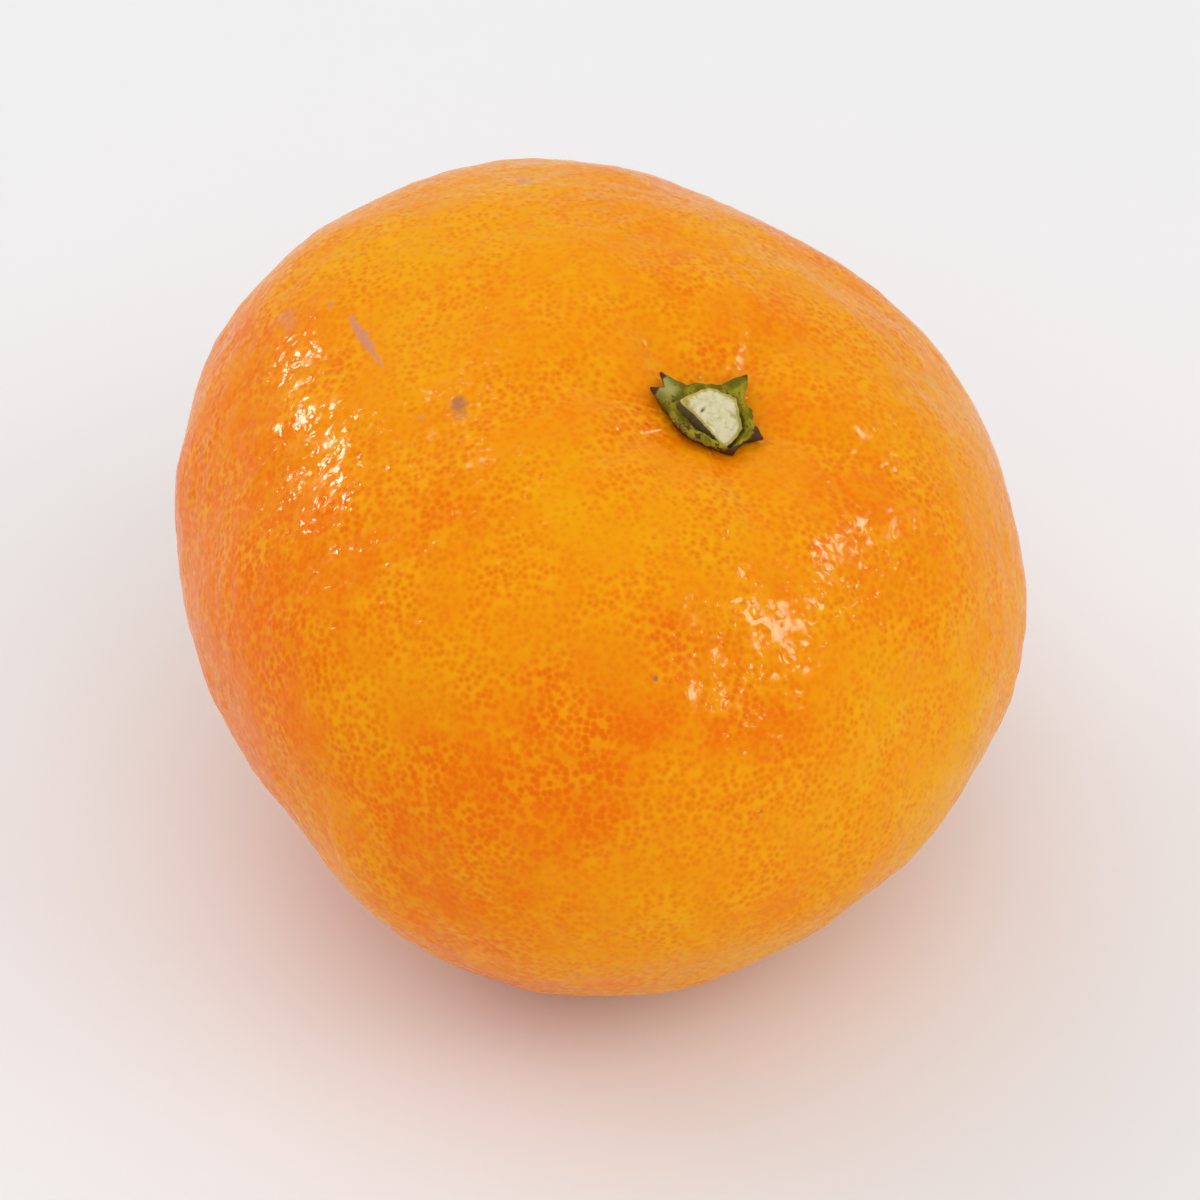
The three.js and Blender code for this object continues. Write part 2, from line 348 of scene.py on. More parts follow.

# %% Notes for the rind's material
# Polar angle and azimuth, reach in radians, and how much yellower, or below zero how much deeper orange.
PATCHES = [
    ((45 * DEG, -85 * DEG), 0.42, 1.0),
    # Painted shade and painted reflection: deeper orange low on the left.
    ((88 * DEG, -115 * DEG), 0.78, -1.25),
    ((62 * DEG, -12 * DEG), 0.5, 0.5),
    ((52 * DEG, -52 * DEG), 0.36, -0.65),
    ((58 * DEG, -166 * DEG), 0.4, 0.6),
    # Painted shade: deeper orange round the stem hollow.
    ((0 * DEG, 0 * DEG), 0.24, -0.4),
]
FOLDED_TO = 0.5


def nearness(polar, azimuth, at, reach):
    """A bell of the angle between a place on the skin and the middle of a patch."""
    towards = direction(np.array(at[0]), np.array(at[1]))
    angle = np.arccos(np.clip(direction(polar, azimuth) @ towards, -1, 1))
    return bell(angle, reach)


all_polar = np.concatenate([[0.0], polar.ravel(), [math.pi]])
all_azimuth = np.concatenate([[0.0], azimuth.ravel(), [0.0]])
ripeness_and_shade = sum(amount * nearness(all_polar, all_azimuth, at, reach) for at, reach, amount in PATCHES)
stem_way = np.stack([np.cos(all_azimuth), np.sin(all_azimuth), all_polar], axis=-1)
add_attribute(rind, "ripeness_and_shade", ripeness_and_shade)
add_attribute(rind, "stem_way", stem_way)
add_attribute(rind, "stem_near", bell(all_polar, FOLDED_TO))
print("ripening runs from", round(ripeness_and_shade.min(), 2), "to", round(ripeness_and_shade.max(), 2))

# %% [markdown]
# ## The calyx
#
# The calyx is what is left of the flower's cup: a thick green disc with five
# slender sepals, pressed into the stem hollow a little beside the axis. Its
# edge is drawn out to a point at each sepal, and the tips have dried and
# turned up. It could be a disc with five leaves stuck on, but the real one
# grew as one, so one outline and one thickness describe it all. A low collar
# rises where the stalk goes in, and follows the outline of the stalk.

# %% Sizes of the calyx and the stalk
STEM_X = 0.55
STEM_Y = -0.15
SUNK = 0.12
EDGE_UP = 0.3
CUP_R = 3.35
# Depth, azimuth and half width of the side where the rim has worn away.
CUP_WORN = (0.55, -85 * DEG, 50 * DEG)
CUP_THICK = 1.1
CUP_FLARE = 0.35
EDGE_ROUNDING = 14
SEPAL_THICK = 0.34
SEPAL_RUN = 1.1
SEPAL_KEEL = 0.14
SEPAL_HALF_WIDTH = 22 * DEG
SEPAL_TAPER = 1.6
# Azimuth, reach from the middle, lift of the tip and length of its dried end.
SEPALS = [
    (99 * DEG, 5.3, 0.95, 0.5),
    (180 * DEG, 5.15, 0.6, 0.55),
    (198 * DEG, 4.95, 0.45, 0.65),
    (21 * DEG, 4.3, 0.25, 0.9),
    (-21 * DEG, 3.8, 0.1, 0.5),
]
CUT_OVER_SKIN = 1.75
# Azimuth of each side of the stalk, and its distance from the middle.
STALK_SIDES = [
    (-87.6 * DEG, 1.43),
    (7.4 * DEG, 2.6),
    (55.5 * DEG, 2.35),
    (126 * DEG, 2.2),
    (169 * DEG, 2.05),
]
STALK_SHARPNESS = 14
STALK_MEAN_R = 2.35
COLLAR_GAP = 0.2
COLLAR_HEIGHT = 0.14
COLLAR_WIDTH = 0.14
SEAT_STEP_AT, SEAT_STEP = 0.1, 0.06
# Height, count and start of the waves round each edge.
RIM_WAVES = [(0.04, 7, 1), (0.04, 16, 4), (0.02, 37, 0)]
STALK_WAVES = [(0.008, 11, 2), (0.007, 19, 5)]


def seat_height(distance, azimuth):
    """Height of the skin under a place seen from the middle of the calyx."""
    x = STEM_X + distance * np.cos(azimuth)
    y = STEM_Y + distance * np.sin(azimuth)
    return skin_height(np.hypot(x, y), np.arctan2(y, x))


def waves_round(azimuth, waves):
    """Sines of the azimuth, added up."""
    return sum(height * np.sin(count * azimuth + start) for height, count, start in waves)


def stalk_outline(azimuth):
    """The nearest side: the sum of (cosine / distance) to a power, to minus one over that power."""
    total = 0
    for at, away in STALK_SIDES:
        total = total + (np.maximum(0, np.cos(azimuth - at)) / away) ** STALK_SHARPNESS
    return total ** (-1 / STALK_SHARPNESS) * (1 + waves_round(azimuth, STALK_WAVES))


def stem_place(points):
    """Points seen from the middle of the calyx, moved to where they lie."""
    return lie(points + np.array([STEM_X, STEM_Y, 0]))


SEAT = float(seat_height(np.array(0.0), np.array(0.0)))
CUP_TOP = SEAT - SUNK + CUP_THICK
print("cup and cut, mm over the skin:", round(CUP_TOP - SEAT, 2), CUT_OVER_SKIN)

# %% The edge of the calyx
CALYX_COLUMNS = 360
CALYX_RINGS = 28


def calyx_edge(azimuth):
    """The disc's rim, drawn out to the longest sepal there: (1 - offset / half width) to a power."""
    worn = CUP_WORN[0] * bell(turn_between(azimuth, CUP_WORN[1]), CUP_WORN[2])
    disc = CUP_R - worn + waves_round(azimuth, RIM_WAVES)
    reach, lift, tip, dry_from = disc, 0 * azimuth, 0 * azimuth, 0 * azimuth + 2 * CUP_R
    for at, far, up, dried in SEPALS:
        drawn = np.maximum(0, 1 - np.abs(turn_between(azimuth, at)) / SEPAL_HALF_WIDTH) ** SEPAL_TAPER
        here = disc + (far - disc) * drawn
        longer = here > reach
        reach = np.where(longer, here, reach)
        lift = np.where(longer, up, lift)
        tip = np.where(longer, drawn, tip)
        dry_from = np.where(longer, far - dried, dry_from)
    return disc, reach, lift, tip, dry_from


def smooth(share):
    """Zero below 0, one above 1, and 3 s squared - 2 s cubed between."""
    s = np.clip(share, 0, 1)
    return s * s * (3 - 2 * s)


def calyx_ring(out, azimuth, side):
    """A ring at a share out of the way to the edge; side is 0 on the underside and 1 on top."""
    disc, reach, lift, tip, dry_from = calyx_edge(azimuth)
    distance = out * (reach - (1 - side) * CUP_FLARE * (1 - tip))
    sepal = smooth((distance - disc) / SEPAL_RUN)
    floor = seat_height(distance, azimuth) + EDGE_UP * out**2 - SUNK + lift * sepal
    thick = CUP_THICK * (1 - sepal) + (SEPAL_THICK + SEPAL_KEEL * tip) * sepal
    thick = thick * (0.5 + 0.5 * np.sqrt(np.maximum(0, 1 - out**EDGE_ROUNDING)))
    collar_at = stalk_outline(azimuth) + COLLAR_GAP
    seat = CUP_TOP + COLLAR_HEIGHT * bell(distance - collar_at, COLLAR_WIDTH)
    inner = side / (1 + np.exp((distance - collar_at - SEAT_STEP_AT) / SEAT_STEP))
    height = (floor + side * thick) * (1 - inner) + seat * inner
    return np.stack([distance * np.cos(azimuth), distance * np.sin(azimuth), height], axis=-1)


print("sepal tips, mm from the middle:", [far for _, far, _, _ in SEPALS])

# %% Build the calyx
# Height and count of the ribs, and height, length of wave and seed of the wrinkles.
CALYX_RIBS = (0.02, 31)
CALYX_WRINKLES = [(0.03, 1.1, 21), (0.02, 0.5, 22)]
around = 2 * math.pi * np.arange(CALYX_COLUMNS) / CALYX_COLUMNS
outs = np.sin(0.5 * math.pi * np.arange(1, CALYX_RINGS + 1) / CALYX_RINGS)
top_rings = np.stack([calyx_ring(out, around, 1) for out in outs])
under_rings = np.stack([calyx_ring(out, around, 0) for out in outs[::-1]])
ribs = CALYX_RIBS[0] * np.sin(CALYX_RIBS[1] * around) * np.linspace(0, 1, CALYX_RINGS)[:, None]
top_rings[..., 2] += ribs + wrinkles(top_rings, CALYX_WRINKLES)
calyx_rings = np.concatenate([top_rings, under_rings])
calyx_first = np.array([0, 0, CUP_TOP])
calyx_last = np.array([0, 0, SEAT - SUNK])
calyx_points, calyx_faces = closed_by_rings(calyx_first, calyx_rings, calyx_last)
calyx = piece_from("calyx_star", stem_place(calyx_points), calyx_faces)

# %% Notes for the calyx's material
DRY_EDGE = 0.5
# Painted shade: the underside of the calyx is darkened at least this far towards brown.
UNDER_SHADE = 0.75
# Dry brown and painted shade along the worn side of the rim, on its outer part.
WORN_DRY_AND_SHADE = 0.5
WORN_SHADE_FROM, WORN_SHADE_BLEND = 0.706, 0.294
# Painted highlight: a pale patch towards the edge of two sepals on the left.
HIGHLIGHT_BEFORE_EDGE = 0.6
PAINTED_HIGHLIGHT_AT = (189 * DEG, 11 * DEG)
disc, reach, lift, tip, dry_from = calyx_edge(around)


def dry_rows(distance):
    """One beyond the place where each sepal starts to be dry, and zero before it."""
    return smooth((distance - dry_from) / DRY_EDGE + 0.5)


dry_and_shade_top = dry_rows(outs[:, None] * reach)
# The worn side gets dry brown and painted shade.
worn_side_dry_and_shade = WORN_DRY_AND_SHADE * bell(turn_between(around, CUP_WORN[1]), CUP_WORN[2])
dry_and_shade_top = np.maximum(dry_and_shade_top, worn_side_dry_and_shade * smooth((outs[:, None] - WORN_SHADE_FROM) / WORN_SHADE_BLEND))
# The underside is painted shade.
dry_and_shade_under = np.maximum(UNDER_SHADE, dry_rows(outs[::-1, None] * reach))
add_attribute(calyx, "dry_and_shade", np.concatenate([[0.0], dry_and_shade_top.ravel(), dry_and_shade_under.ravel(), [UNDER_SHADE]]))
# The pale note is a painted highlight on those two sepals.
highlight_rows = smooth(outs[:, None] * reach - disc + HIGHLIGHT_BEFORE_EDGE)
highlight_top = highlight_rows * bell(turn_between(around, PAINTED_HIGHLIGHT_AT[0]), PAINTED_HIGHLIGHT_AT[1])
add_attribute(calyx, "pale", np.concatenate([[0.0], highlight_top.ravel(), 0 * dry_and_shade_under.ravel(), [0.0]]))
add_attribute(calyx, "own_place", calyx_points * MM)
print("share of the calyx's top that is dry:", round(float((dry_and_shade_top > 0.5).mean()), 2))

# %% [markdown]
# ## The cut stalk
#
# The stalk was clipped just above the calyx. The cut has five uneven sides
# with round corners, pale and fibrous, with a thin rim of bark round it and
# a little split. Five straight sides alone would leave sharp corners, so the
# outline is a soft meeting of five lines. The rest is a surface of two
# parameters again: out from the middle over the cut, over the rounded rim,
# and down the side.

# %% The cut face
CUT_DOME = 0.12
CUT_SLANT = 0.1
CUT_RISES_TO = -160 * DEG
RIM_R = 0.12
SPLIT_AT = (-0.62, -0.55)
SPLIT_TURN = 100 * DEG
SPLIT_LONG, SPLIT_WIDE, SPLIT_DEEP = 0.34, 0.1, 0.2
CUT_WRINKLES = [(0.04, 1.4, 31), (0.018, 0.45, 32)]
FOOT_SUNK = 0.3
STALK_COLUMNS = 180
CUT_RINGS = 34


def along_and_beside_split(x, y):
    """The place seen from the middle of the split: along it, and beside it."""
    c, s = math.cos(SPLIT_TURN), math.sin(SPLIT_TURN)
    return (x - SPLIT_AT[0]) * c + (y - SPLIT_AT[1]) * s, (y - SPLIT_AT[1]) * c - (x - SPLIT_AT[0]) * s


def cut_height(x, y):
    """A dome and a slant, roughened by fibres, with the split sunk into it."""
    away = np.hypot(x, y) / STALK_MEAN_R
    slant = CUT_SLANT * away * np.cos(np.arctan2(y, x) - CUT_RISES_TO)
    along, beside = along_and_beside_split(x, y)
    split = SPLIT_DEEP * bell(along, SPLIT_LONG) * bell(beside, SPLIT_WIDE)
    flat_points = np.stack([x, y, 0 * x], axis=-1)
    return CUT_DOME * (1 - away**2) + slant + wrinkles(flat_points, CUT_WRINKLES) - split


stalk_foot = CUP_TOP - FOOT_SUNK
cut_level = SEAT + CUT_OVER_SKIN
turns = 2 * math.pi * np.arange(STALK_COLUMNS) / STALK_COLUMNS
outline = stalk_outline(turns)
cut_share = (np.arange(1, CUT_RINGS + 1) / CUT_RINGS)[:, None]
cut_distance = cut_share * (outline - RIM_R)
cut_x, cut_y = cut_distance * np.cos(turns), cut_distance * np.sin(turns)
cut_rings = np.stack([cut_x, cut_y, cut_level + cut_height(cut_x, cut_y)], axis=-1)
print("cut face, mm across:", np.round(np.ptp(cut_rings[-1, :, :2], axis=0), 2))

# %% The rim and the side of the stalk
RIM_RINGS = 8
SIDE_RINGS = 14
SIDE_BULGE = 0.05
FOOT_FLARE = 0.1
SIDE_RIBS = (0.025, 23)
rim_turn = np.linspace(0, 0.5 * math.pi, RIM_RINGS)[1:, None]
rim_distance = outline - RIM_R + RIM_R * np.sin(rim_turn)
rim_height = cut_rings[-1, :, 2] - RIM_R * (1 - np.cos(rim_turn))
side_share = np.linspace(0, 1, SIDE_RINGS)[1:, None]
side_ribs = SIDE_RIBS[0] * np.sin(SIDE_RIBS[1] * turns)
side_distance = outline + (SIDE_BULGE + side_ribs) * np.sin(math.pi * side_share) + FOOT_FLARE * side_share**2
side_height = rim_height[-1] + side_share * (stalk_foot - rim_height[-1])
ring_distance = np.concatenate([rim_distance, side_distance])
ring_height = np.concatenate([rim_height, side_height])
side_rings = np.stack([ring_distance * np.cos(turns), ring_distance * np.sin(turns), ring_height], axis=-1)
stalk_rings = np.concatenate([cut_rings, side_rings])
middle_of_cut = np.array([0, 0, cut_level + float(cut_height(np.array(0.0), np.array(0.0)))])
stalk_points, stalk_faces = closed_by_rings(middle_of_cut, stalk_rings, np.array([0, 0, stalk_foot]))
stalk = piece_from("cut_stalk", stem_place(stalk_points), stalk_faces)

# %% Notes for the stalk's material
# Share of the way out where each colour starts, and how far it takes to set in.
EDGE_FROM, EDGE_BLEND = 0.86, 0.1
CORNER_FROM, CORNER_BLEND = 0.5, 0.4
YELLOW_CORNER = (0.75, -152 * DEG, 24 * DEG)
BARK_FROM = 0.1
share_out = np.linspace(0, 1, CUT_RINGS)
whole = np.ones(len(ring_distance))
edge_rows = np.concatenate([smooth((share_out - EDGE_FROM) / EDGE_BLEND), whole])
corner_rows = np.concatenate([smooth((share_out - CORNER_FROM) / CORNER_BLEND), whole])
corner = YELLOW_CORNER[0] * bell(turn_between(turns, YELLOW_CORNER[1]), YELLOW_CORNER[2])
edge = np.maximum(edge_rows[:, None], corner_rows[:, None] * corner)
rim_bark = np.linspace(BARK_FROM, 1, len(rim_distance))
bark_rows = np.concatenate([0 * share_out, rim_bark, np.ones(len(side_distance))])
add_attribute(stalk, "edge", np.concatenate([[0.0], edge.ravel(), [1.0]]))
add_attribute(stalk, "bark", np.concatenate([[0.0], np.repeat(bark_rows, STALK_COLUMNS), [1.0]]))
along, beside = along_and_beside_split(stalk_points[:, 0], stalk_points[:, 1])
add_attribute(stalk, "split", bell(along, SPLIT_LONG) * bell(beside, SPLIT_WIDE))
add_attribute(stalk, "own_place", stalk_points * MM)
print("share of the cut that is edge:", round(float((edge[:CUT_RINGS] > 0.5).mean()), 2))

# %% [markdown]
# ## Node helpers
#
# A material is a small network of nodes. These helpers add a node, set its
# unlinked sockets and link the others, so that a finish reads like a recipe.

# %% Node helpers
class Finish:
    """A material under construction: its tree, its shader, and short ways to add nodes."""

    def __init__(self, name, **shader_values):
        self.material = bpy.data.materials.new(name)
        self.material.use_nodes = True
        self.tree = self.material.node_tree
        self.shader = self.tree.nodes["Principled BSDF"]
        for socket, value in shader_values.items():
            self.shader.inputs[socket.replace("_", " ")].default_value = value

    def add(self, kind, inputs=None, **settings):
        """A node with its settings; each input is a value, or an output to link."""
        node = self.tree.nodes.new(kind)
        for key, value in settings.items():
            setattr(node, key, value)
        for key, value in (inputs or {}).items():
            self.feed(node.inputs[key], value)
        return node

    def feed(self, socket, value):
        """Links value to the socket if it is an output, and sets it otherwise."""
        if isinstance(value, bpy.types.NodeSocket):
            self.tree.links.new(value, socket)
        else:
            socket.default_value = value

    def math(self, operation, a, b=0.0):
        """Two numbers put together by an operation."""
        return self.add("ShaderNodeMath", {0: a, 1: b}, operation=operation).outputs[0]

    def vector(self, operation, a, b, output="Vector"):
        """Two vectors put together by an operation."""
        return self.add("ShaderNodeVectorMath", {0: a, 1: b}, operation=operation).outputs[output]

    def ramp(self, value, low, high, to_low=0.0, to_high=1.0):
        """Value between low and high, smoothly stretched to the range to_low to to_high."""
        inputs = {"Value": value, "From Min": low, "From Max": high, "To Min": to_low, "To Max": to_high}
        return self.add("ShaderNodeMapRange", inputs, interpolation_type="SMOOTHSTEP").outputs["Result"]

    def mix(self, share, a, b):
        """Colour a where share is 0 and b where it is 1."""
        node = self.add("ShaderNodeMix", data_type="RGBA")
        self.feed(node.inputs[0], share)
        self.feed(node.inputs[6], a)
        self.feed(node.inputs[7], b)
        return node.outputs[2]

    def noise(self, place, pitch_mm, detail=2.0, roughness=0.5, output="Fac"):
        """Cloudy noise whose largest clouds are one pitch apart."""
        inputs = {"Vector": place, "Scale": 1 / (pitch_mm * MM), "Detail": detail, "Roughness": roughness}
        return self.add("ShaderNodeTexNoise", inputs).outputs[output]

    def cells(self, place, pitch_mm, **settings):
        """A node that gives the distance from the nearest of many scattered points, in pitches."""
        inputs = {"Vector": place, "Scale": 1 / (pitch_mm * MM)}
        return self.add("ShaderNodeTexVoronoi", inputs, **settings)

    def attribute(self, name, output="Fac"):
        """One of the mesh's notes."""
        return self.add("ShaderNodeAttribute", attribute_name=name).outputs[output]

    def place(self):
        """The place on the piece, in metres."""
        return self.add("ShaderNodeTexCoord").outputs["Object"]

    def bump(self, height, depth_mm, normal=None):
        """The normal, tipped as a relief of this height and depth would tip it."""
        inputs = {"Height": height, "Distance": depth_mm * MM, "Strength": 1.0}
        if normal is not None:
            inputs["Normal"] = normal
        return self.add("ShaderNodeBump", inputs).outputs["Normal"]


def colour(red, green, blue):
    """A colour in scene-linear numbers, opaque."""
    return (red, green, blue, 1.0)


print("node helpers are ready")

# %% [markdown]
# ## The rind's finish
#
# Ripe rind is a clear orange skin over white pith, so light goes a little
# way in and comes back warmer: that is subsurface scattering. It is full of
# oil glands, which show as darker dots under the surface and as shallow
# pits in it. On top lies a thin coat of wax, which gives the small sharp
# lights. A few scars, streaks and spots mark where it rubbed against twigs.
# All of this could be painted on a picture, but a picture has a seam and one
# sharpness. Here cells of a Voronoi pattern place the glands and the pits,
# and noises of several sizes vary the colour and the pebbling, so that
# nothing repeats. Each mark is a distance from a place on the skin.

# %% Colours and marks of the rind
ORANGE = colour(0.89, 0.285, 0.0008)
DEEP_ORANGE = colour(0.88, 0.170, 0.0004)
YELLOW_ORANGE = colour(0.88, 0.37, 0.0008)
GLAND_ORANGE = colour(0.74, 0.145, 0.0003)
NET_ORANGE = colour(0.91, 0.42, 0.004)
PALE_SCAR = colour(0.60, 0.26, 0.19)
BROWN_SPOT = colour(0.36, 0.14, 0.09)
# Shares of a mark's radius, or a streak's half width, where it starts to fade and where it is gone.
MARK_SOLID, MARK_GONE = 0.45, 1.1
STREAK_SOLID, STREAK_GONE = 0.35, 1.2
# Polar angle and azimuth of each mark in degrees, its radius in mm and how strong it is.
SCARS = [
    (64.4, -160.8, 0.45, 0.7),
    (71.8, -159.2, 1.1, 0.35),
    (70.2, -157.2, 0.8, 0.3),
    (45.7, -132.8, 0.3, 0.5),
    (60.2, 157.1, 0.75, 0.7),
    (98.0, 60.0, 0.8, 0.7),
    (101.0, 63.0, 0.5, 0.6),
    (84.0, 118.0, 0.6, 0.7),
    (118.0, -10.0, 0.7, 0.6),
]
# Both ends of each streak, as polar angle, azimuth and half width, and how strong it is.
STREAKS = [
    ((60.6, -158.2, 0.25), (57.6, -154.0, 0.6), 0.8),
    ((58.4, -155.2, 0.6), (53.0, -146.5, 0.16), 0.75),
]
SPOTS = [
    (40.0, -134.6, 0.9, 0.7),
    (39.6, -131.8, 0.75, 0.4),
    (43.2, -55.3, 0.25, 0.9),
    (57.1, -33.7, 0.22, 0.8),
    (75.0, 40.0, 0.3, 0.8),
    (88.0, 150.0, 0.35, 0.8),
    (110.0, 95.0, 0.25, 0.8),
]


def skin_place(polar_degrees, azimuth_degrees):
    """The place on the skin, in metres, of a polar angle and azimuth in degrees."""
    polar = np.array([polar_degrees * DEG])
    azimuth = np.array([azimuth_degrees * DEG])
    return Vector((lie(direction(polar, azimuth) * skin_radius(polar, azimuth)[:, None])[0] * MM).tolist())


def marks(finish, place, table):
    """The strongest of several round marks with edges made ragged by the place's own warp."""
    strongest = 0.0
    for polar_degrees, azimuth_degrees, radius, strength in table:
        away = finish.vector("DISTANCE", place, skin_place(polar_degrees, azimuth_degrees), "Value")
        here = finish.ramp(away, MARK_SOLID * radius * MM, MARK_GONE * radius * MM, strength, 0.0)
        strongest = finish.math("MAXIMUM", here, strongest)
    return strongest


def streak(finish, place, start, end, strength):
    """A mark along a line: the distance to the nearest point of the line, against a tapering width."""
    first, last = skin_place(*start[:2]), skin_place(*end[:2])
    run = last - first
    from_first = finish.vector("SUBTRACT", place, first)
    share = finish.vector("DOT_PRODUCT", from_first, run / run.length_squared, "Value")
    share = finish.math("MAXIMUM", finish.math("MINIMUM", share, 1.0), 0.0)
    along = finish.add("ShaderNodeVectorMath", {0: run, "Scale": share}, operation="SCALE").outputs["Vector"]
    away = finish.vector("DISTANCE", from_first, along, "Value")
    width = finish.math("ADD", finish.math("MULTIPLY", share, (end[2] - start[2]) * MM), start[2] * MM)
    return finish.ramp(finish.math("DIVIDE", away, width), STREAK_SOLID, STREAK_GONE, strength, 0.0)


print("marks on the rind:", len(SCARS) + len(STREAKS) + len(SPOTS))

# %% Make the rind's finish
GLAND_PITCH = 0.52
RAGGED_PITCH = 0.9
RAGGED_BY = 1.1
rind_finish = Finish(
    "rind_finish",
    Subsurface_Weight=0.3,
    Subsurface_Radius=(1.0, 0.36, 0.08),
    Subsurface_Scale=0.002,
    Specular_IOR_Level=0.02,
    Specular_Tint=(1.0, 0.5, 0.15, 1.0),
    Coat_Weight=0.2,
    Coat_Roughness=0.12,
    Coat_IOR=1.42,
)
place = rind_finish.place()
warp = rind_finish.noise(place, RAGGED_PITCH, output="Color")
warp = rind_finish.vector("SUBTRACT", warp, (0.5, 0.5, 0.5))
warp = rind_finish.vector("MULTIPLY", warp, (RAGGED_BY * MM, RAGGED_BY * MM, RAGGED_BY * MM))
ragged_place = rind_finish.vector("ADD", place, warp)
gland_away = rind_finish.cells(place, GLAND_PITCH).outputs["Distance"]
gland_dot = rind_finish.ramp(gland_away, 0.05, 0.55, 1.0, 0.0)
gland_net = rind_finish.ramp(gland_away, 0.4, 0.8)
print("pitch of the gland pattern, mm:", GLAND_PITCH)

# %% The rind's colour
drift = rind_finish.noise(place, 16.0, detail=3.0, roughness=0.55)
mottle = rind_finish.noise(place, 2.6, detail=3.0, roughness=0.6)
ripe_and_shade = rind_finish.ramp(drift, 0.3, 0.7, -0.55, 0.55)
# The rind's notes carry painted shade round the stem and low on the left.
ripe_and_shade = rind_finish.math("ADD", rind_finish.attribute("ripeness_and_shade"), ripe_and_shade)
ripe_and_shade = rind_finish.math("ADD", ripe_and_shade, rind_finish.ramp(mottle, 0.3, 0.7, -0.22, 0.22))
warm = rind_finish.ramp(ripe_and_shade, -0.9, 0.1)
sunny = rind_finish.ramp(ripe_and_shade, 0.0, 1.1)
rind_colour = rind_finish.mix(warm, DEEP_ORANGE, ORANGE)
rind_colour = rind_finish.mix(sunny, rind_colour, YELLOW_ORANGE)
clearness = rind_finish.noise(place, 5.0, detail=2.0, roughness=0.6)
contrast = rind_finish.ramp(clearness, 0.35, 0.68, 0.2, 0.65)
rind_colour = rind_finish.mix(rind_finish.math("MULTIPLY", gland_dot, contrast), rind_colour, GLAND_ORANGE)
rind_colour = rind_finish.mix(rind_finish.math("MULTIPLY", gland_net, contrast), rind_colour, NET_ORANGE)
scar = marks(rind_finish, ragged_place, SCARS)
for start, end, strength in STREAKS:
    scar = rind_finish.math("MAXIMUM", scar, streak(rind_finish, ragged_place, start, end, strength))
spot = marks(rind_finish, ragged_place, SPOTS)
rind_colour = rind_finish.mix(scar, rind_colour, PALE_SCAR)
rind_colour = rind_finish.mix(spot, rind_colour, BROWN_SPOT)
rind_finish.feed(rind_finish.shader.inputs["Base Color"], rind_colour)
print("nodes for the rind's colour:", len(rind_finish.tree.nodes))

# %% The rind's gloss and pebbling
PIT_PITCH = 1.15
FOLD_WAVES = (6.0, 6.0, 7.0)
# Depth of each relief, in mm.
COARSE_DEEP, PEBBLE_DEEP, PIMPLE_DEEP, FOLD_DEEP, PIT_DEEP = 0.16, 0.12, 0.05, 0.3, 0.045
matt = rind_finish.math("MAXIMUM", scar, spot)
gloss = rind_finish.ramp(mottle, 0.25, 0.75, 0.2, 0.32)
dull = rind_finish.math("MULTIPLY", matt, 0.25)
rind_finish.feed(rind_finish.shader.inputs["Roughness"], rind_finish.math("ADD", gloss, dull))
pebble = rind_finish.noise(place, 1.5, detail=0.8, roughness=0.4)
coarse = rind_finish.noise(place, 2.6, detail=1.0, roughness=0.4)
pimples = rind_finish.ramp(rind_finish.noise(place, 1.5, detail=1.0), 0.6, 0.74)
fold_way = rind_finish.vector("MULTIPLY", rind_finish.attribute("stem_way", "Vector"), FOLD_WAVES)
fold_inputs = {"Vector": fold_way, "Scale": 1.0, "Detail": 1.0, "Roughness": 0.45}
folds = rind_finish.add("ShaderNodeTexNoise", fold_inputs).outputs["Fac"]
fold_height = rind_finish.math("MULTIPLY", folds, rind_finish.attribute("stem_near"))
pits = rind_finish.cells(ragged_place, PIT_PITCH, feature="SMOOTH_F1")
pits.inputs["Smoothness"].default_value = 0.25
pit = rind_finish.ramp(pits.outputs["Distance"], 0.05, 0.6)
normal = rind_finish.bump(coarse, COARSE_DEEP)
normal = rind_finish.bump(pebble, PEBBLE_DEEP, normal)
normal = rind_finish.bump(pimples, PIMPLE_DEEP, normal)
normal = rind_finish.bump(fold_height, FOLD_DEEP, normal)
normal = rind_finish.bump(pit, PIT_DEEP, normal)
rind_finish.feed(rind_finish.shader.inputs["Normal"], normal)
rind_finish.feed(rind_finish.shader.inputs["Coat Normal"], normal)
rind.data.materials.append(rind_finish.material)
print("nodes in the rind's finish:", len(rind_finish.tree.nodes))

# %% [markdown]
# ## The calyx's finish
#
# Living green tissue that has begun to dry: olive green with paler ridges,
# brown at the tips, and dry brown with painted shade along the worn edge. The
# underside is darkened as painted shade, and two sepals on the left carry a
# painted highlight in mint. It is matt, and its small wrinkles catch the light.
# Where it is dry, shaded or pale comes from the notes on the mesh, broken up
# by a fine noise, so that the brown follows the sepals.

# %% Make the calyx's finish
OLIVE = colour(0.14, 0.12, 0.004)
PALE_GREEN = colour(0.35, 0.285, 0.012)
MINT_HIGHLIGHT = colour(0.38, 0.36, 0.12)
# Brown of the dry tips, also used for painted shade.
DRY_BROWN_AND_SHADE = colour(0.08, 0.034, 0.016)
SPECKLE_PITCH = 0.625
PATCH_PITCH = 1.25
calyx_finish = Finish("calyx_finish", Specular_IOR_Level=0.06)
own = calyx_finish.attribute("own_place", "Vector")
speckle = calyx_finish.noise(own, SPECKLE_PITCH, detail=4.0, roughness=0.65)
patch = calyx_finish.noise(own, PATCH_PITCH)
green = calyx_finish.mix(calyx_finish.ramp(patch, 0.4, 0.65), OLIVE, PALE_GREEN)
# Painted highlight: mint where the pale note is.
green = calyx_finish.mix(calyx_finish.attribute("pale"), green, MINT_HIGHLIGHT)
dry_speckle = calyx_finish.ramp(speckle, 0.4, 0.7, -0.2, 0.6)
